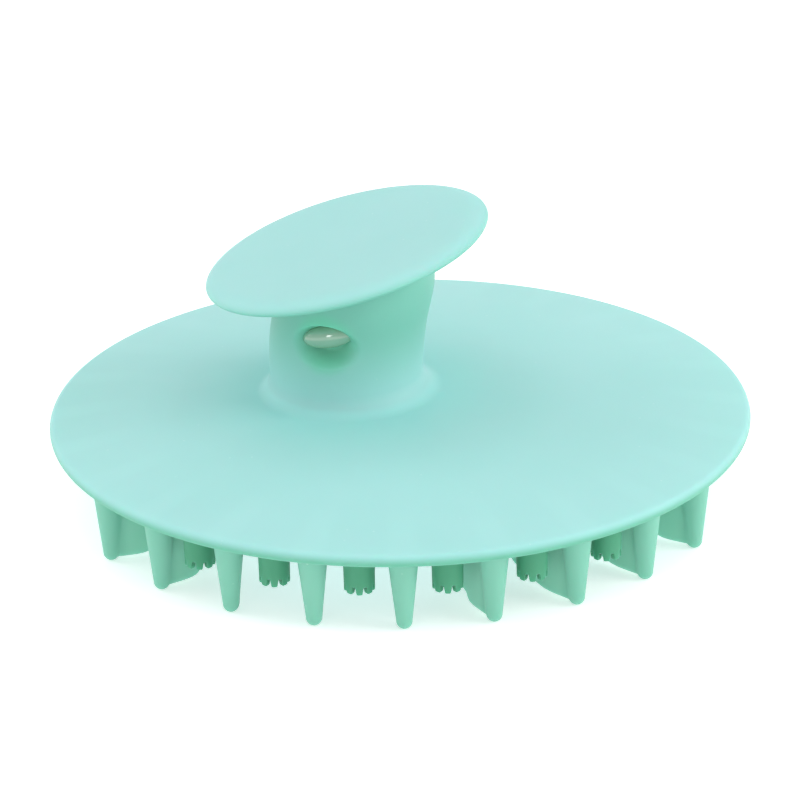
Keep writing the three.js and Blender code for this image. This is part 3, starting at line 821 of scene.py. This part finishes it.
def build_stage():
    """The floor, three softboxes, a small lamp for the glint on the plug, and an even white surround."""
    build_floor()
    aim = (0, 0, 0.02)
    soft_light("softbox_left", (-0.85, 0.2, 0.6), aim, (0.7, 0.7), 2.1)
    soft_light("softbox_right", (0.92, -0.24, 0.46), aim, (0.6, 0.6), 4.4)
    soft_light("softbox_top", (0, 0.1, 1.1), aim, (1.2, 0.9), 2.8)
    soft_light("strip_lamp", (-0.45, -0.70, 0.17), aim, (0.12, 0.2), 0.42)
    world = bpy.data.worlds.new("studio")
    world.use_nodes = True
    world.node_tree.nodes["Background"].inputs["Color"].default_value = (1, 1, 1, 1)
    world.node_tree.nodes["Background"].inputs["Strength"].default_value = 0.7
    bpy.context.scene.world = world
    bpy.context.scene.view_settings.view_transform = "Standard"


def build_camera():
    """A long lens at the height of a hand-held product shot, twelve pad radii away."""
    elevation = math.radians(23.47)
    roll = math.radians(1.2)
    distance = 12 * PAD_RADIUS
    seen_width = 98.4 * MM
    aim = Vector((0, 0, RIM_Z))
    place = aim + distance * Vector((0, -math.cos(elevation), math.sin(elevation)))
    camera = bpy.data.cameras.new("product_camera")
    camera.sensor_width = 36
    camera.lens = camera.sensor_width * distance / seen_width
    camera.shift_y = 0.0156
    camera.clip_start = 0.01
    camera.clip_end = 50
    holder = bpy.data.objects.new("product_camera", camera)
    turn = (aim - place).to_track_quat("-Z", "Y").to_matrix().to_4x4() @ Matrix.Rotation(-roll, 4, "Z")
    holder.matrix_world = Matrix.Translation(place) @ turn
    bpy.context.scene.collection.objects.link(holder)
    bpy.context.scene.camera = holder


# ---- assembly ----

build_camera()
build_stage()

mottle = silicone_mottle()
mint = silicone_material("mint_silicone", MINT, MINT_DEEP, 0.42, mottle)
# The teeth get a darker, greener copy of the mint silicone: painted shade under the pad.
tooth_shaded = silicone_material("tooth_silicone_shaded", TOOTH_SHADE_GREEN, TOOTH_SHADE_GREEN_DEEP, 0.42, mottle)
# The stubs get a much darker copy of the mint silicone: painted shade deep under the pad.
stub_shaded = silicone_material("stub_silicone_shaded", STUB_SHADE_GREEN, STUB_SHADE_GREEN_DEEP, 0.45, mottle)
# The plug's grey-green is painted shade from the recess; its gloss is its own.
plug_gloss = plastic_material("plug_gloss", PLUG_SHADED_GREEN, 0.08, mottle)
core_plastic = plastic_material("core_plastic", CORE_WHITE, 0.3, mottle)
tint_body(mint)
lighten_fins(tooth_shaded)

skin = build_skin()
skin.data.materials.append(mint)
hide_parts("silicone_body")
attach(skin, "root")

plug = build_plug()
plug.data.materials.append(plug_gloss)
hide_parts("locating_plug")
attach(plug, "root")

for number, heading in enumerate(row_headings(TEETH_PER_SIDE), start=1):
    build_tooth(number, heading).data.materials.append(tooth_shaded)
for number, heading in enumerate(row_headings(STUBS_PER_SIDE), start=1):
    build_stub(number, heading).data.materials.append(stub_shaded)

for name in ("core_frame", "knob_plate"):
    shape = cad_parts[name].data
    shape.materials.clear()
    shape.materials.append(core_plastic)
